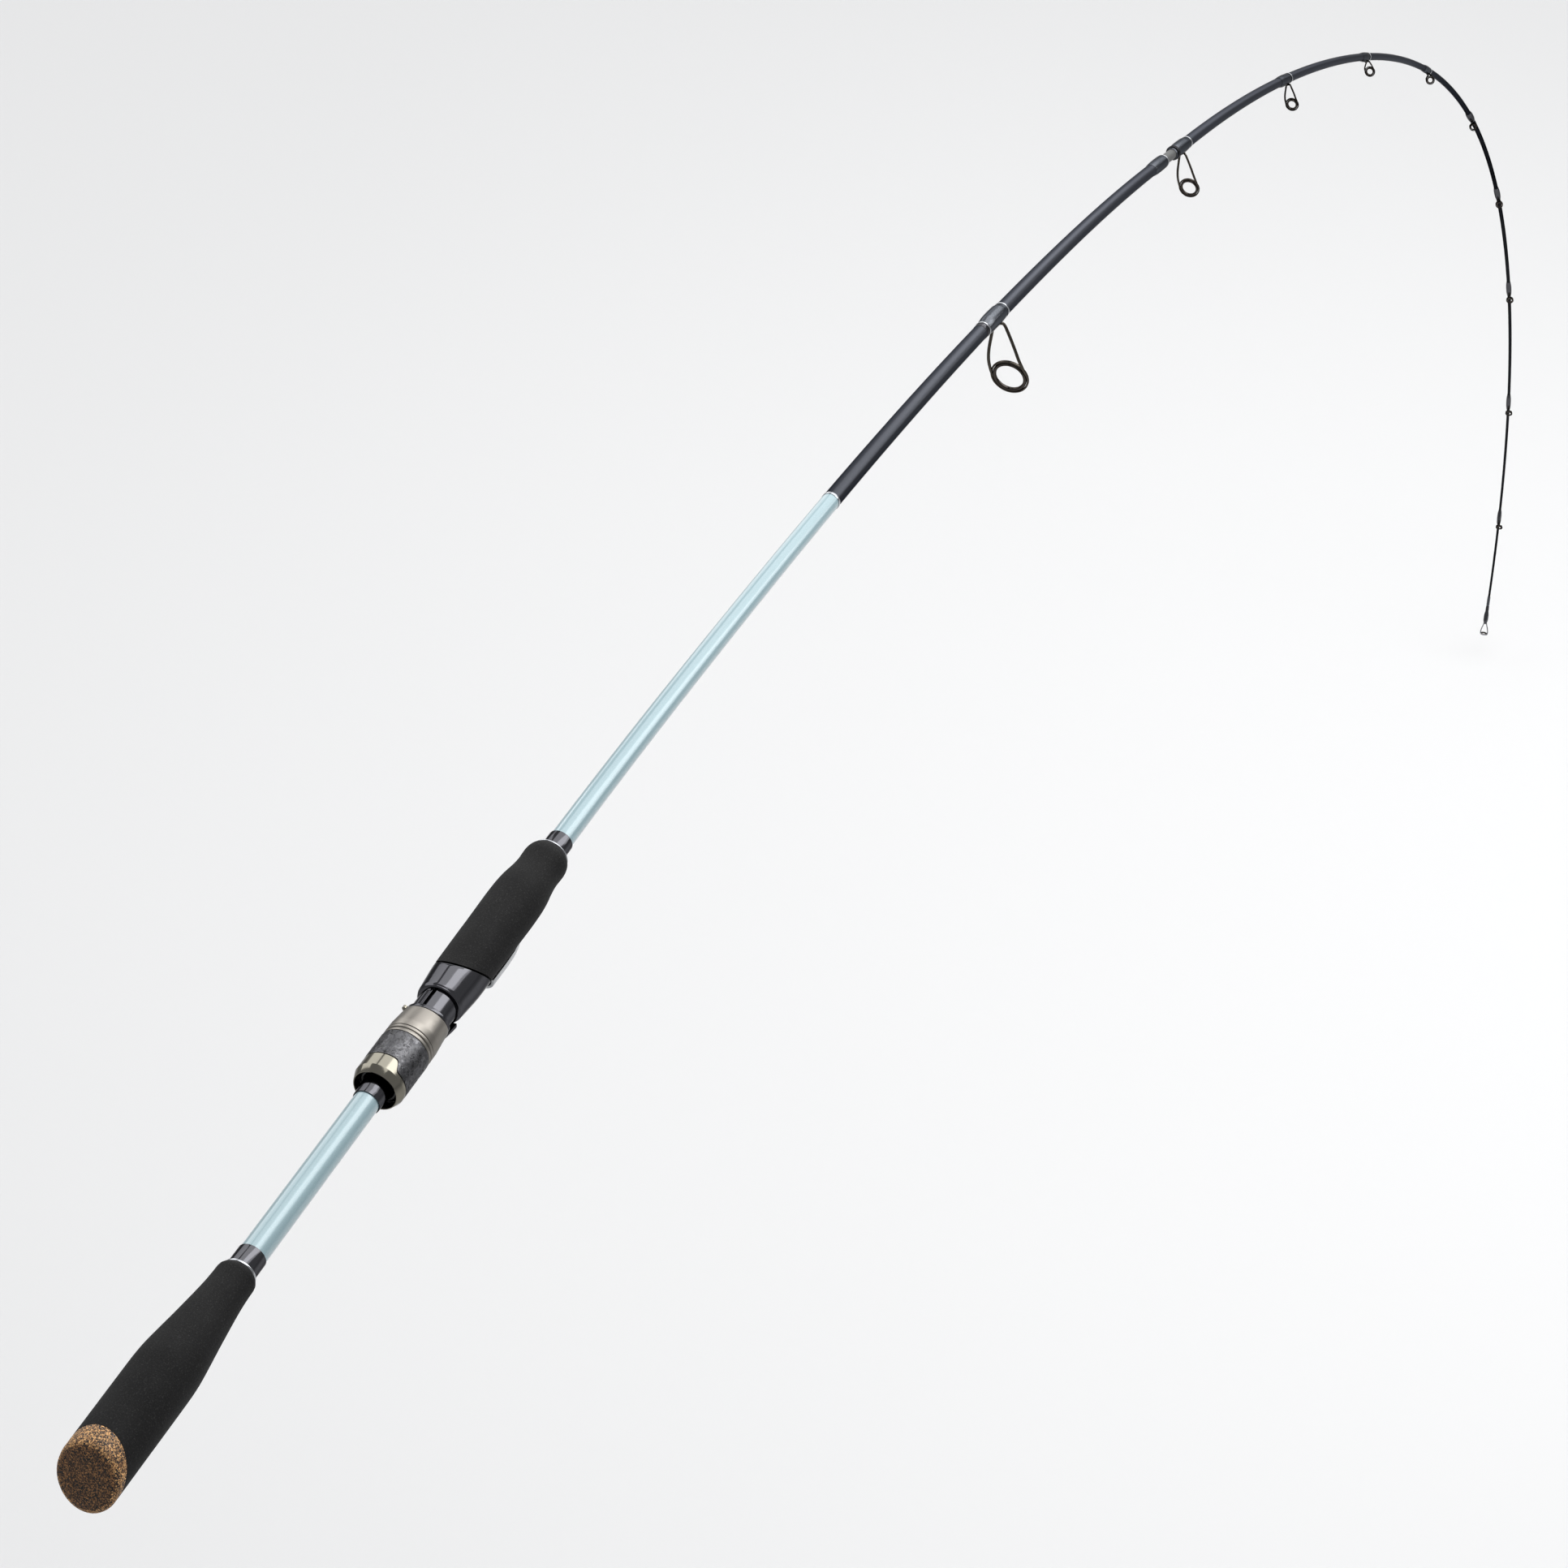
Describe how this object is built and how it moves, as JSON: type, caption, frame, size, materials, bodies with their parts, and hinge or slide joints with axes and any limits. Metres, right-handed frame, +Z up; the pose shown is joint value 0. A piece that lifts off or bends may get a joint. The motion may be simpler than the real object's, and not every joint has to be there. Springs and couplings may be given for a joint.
{
  "type": "spinning rod",
  "caption": "Spinning rod bent under load, with foam grips, a screw-locking reel seat, a sliding hood, a spigot ferrule, ringed line guides and a tip top.",
  "frame": {"origin": "the middle of the flat bed that a reel foot sits on, 321 mm from the butt end", "axes": "+X along the straight handle towards the tip, +Z up and away from the reel and the guides, +Y across; the loaded blank bends down towards -Z"},
  "size_m": [1.8265, 0.0305, 0.8303],
  "materials": {
    "cork": "rubberised burl cork, matt",
    "foam": "matt black foam",
    "gloss_black": "polished black",
    "blue_paint": "pale blue pearl lacquer over carbon tube, dark grey beyond the colour change",
    "graphite": "dark grey satin lacquer over carbon",
    "hood_metal": "light grey satin steel",
    "champagne": "satin champagne anodised",
    "gold": "polished pale gold anodised",
    "forged": "forged carbon under lacquer",
    "steel": "polished",
    "guide_metal": "dark gunmetal polish",
    "ceramic": "polished dark ceramic",
    "epoxy": "dark thread under glossy varnish"
  },
  "bodies": {
    "root": {"butt_cap": "cork", "rear_grip": "foam", "rear_winding_check": "steel", "rear_trim_band": "gloss_black", "butt_blank": "blue_paint", "rear_arbor": "gloss_black", "front_arbor": "graphite", "reel_seat_body": "gloss_black", "fixed_hood": "hood_metal", "fore_grip": "foam", "fore_winding_check": "steel", "fore_trim_band": "gloss_black", "colour_change_band": "steel", "ferrule_wrap": "epoxy", "ferrule_trim": "steel", "spigot": "graphite", "guide_1_frame": "guide_metal", "guide_1_ring": "ceramic", "guide_1_wrap": "epoxy", "guide_1_rear_trim": "steel", "guide_1_front_trim": "steel"},
    "hood": {"moving_hood": "gloss_black", "hood_collar": "champagne"},
    "nut": {"nut_core": "gloss_black", "nut_end_ring": "gold", "nut_sleeve": "forged", "nut_groove_ring": "champagne"},
    "tip_section": {"tip_blank": "graphite", "guide_2_front_trim": "steel", "tip_top_frame": "guide_metal", "tip_top_ring": "ceramic", "tip_top_wrap": "epoxy", "guide_2_frame": "guide_metal", "guide_2_ring": "ceramic", "guide_2_wrap": "epoxy", "guide_3_frame": "guide_metal", "guide_3_ring": "ceramic", "guide_3_wrap": "epoxy", "guide_4_frame": "guide_metal", "guide_4_ring": "ceramic", "guide_4_wrap": "epoxy", "guide_5_frame": "guide_metal", "guide_5_ring": "ceramic", "guide_5_wrap": "epoxy", "guide_6_frame": "guide_metal", "guide_6_ring": "ceramic", "guide_6_wrap": "epoxy", "guide_7_frame": "guide_metal", "guide_7_ring": "ceramic", "guide_7_wrap": "epoxy", "guide_8_frame": "guide_metal", "guide_8_ring": "ceramic", "guide_8_wrap": "epoxy", "guide_9_frame": "guide_metal", "guide_9_ring": "ceramic", "guide_9_wrap": "epoxy", "guide_10_frame": "guide_metal", "guide_10_ring": "ceramic", "guide_10_wrap": "epoxy"}
  },
  "joints": [
    {"name": "nut_turn", "type": "hinge", "parent": "hood", "child": "nut", "pos_m": [-0.06, 0, 0.0097], "axis": [1, 0, 0], "range_deg": [-2520, 720]},
    {"name": "hood_slide", "type": "slide", "parent": "root", "child": "hood", "axis": [1, 0, 0], "range_m": [-0.0142, 0.0042]},
    {"name": "tip_section_pull", "type": "slide", "parent": "root", "child": "tip_section", "axis": [0.9721, 0, -0.2344], "range_m": [0, 0.06]}
  ],
  "couplings": [
    {"joint": "hood_slide", "follows": "nut_turn", "m_per_rad": 0.00031831}
  ]
}
